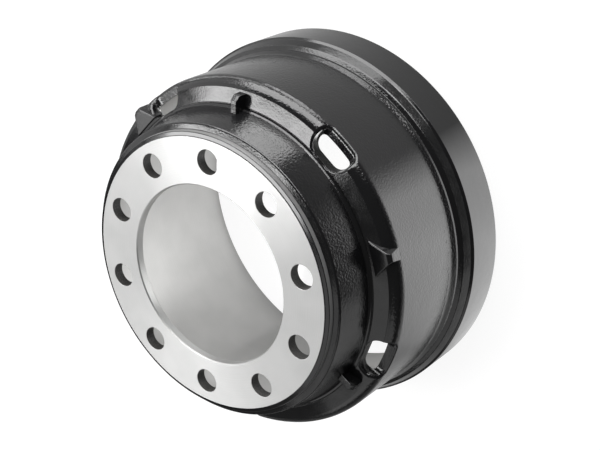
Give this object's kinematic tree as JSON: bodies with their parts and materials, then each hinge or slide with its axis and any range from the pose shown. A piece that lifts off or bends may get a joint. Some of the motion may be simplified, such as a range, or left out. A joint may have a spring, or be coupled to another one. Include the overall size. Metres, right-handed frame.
{
  "type": "truck brake drum",
  "caption": "Outboard-mounted cast brake drum for a heavy truck wheel, with a drilled mounting face, a hub pilot, a slotted shoulder and a squealer band.",
  "frame": {"origin": "centre of the open end, where the drum stands on a floor", "axes": "+Z along the drum's axis towards the wheel mounting face; a stud hole lies on +X"},
  "size_m": [0.4774, 0.4774, 0.2655],
  "materials": {
    "casting": "gloss black paint over the casting, with bare turned mounting face, pilot and brake surface"
  },
  "bodies": {
    "root": {"brake_drum": "casting"}
  },
  "joints": []
}
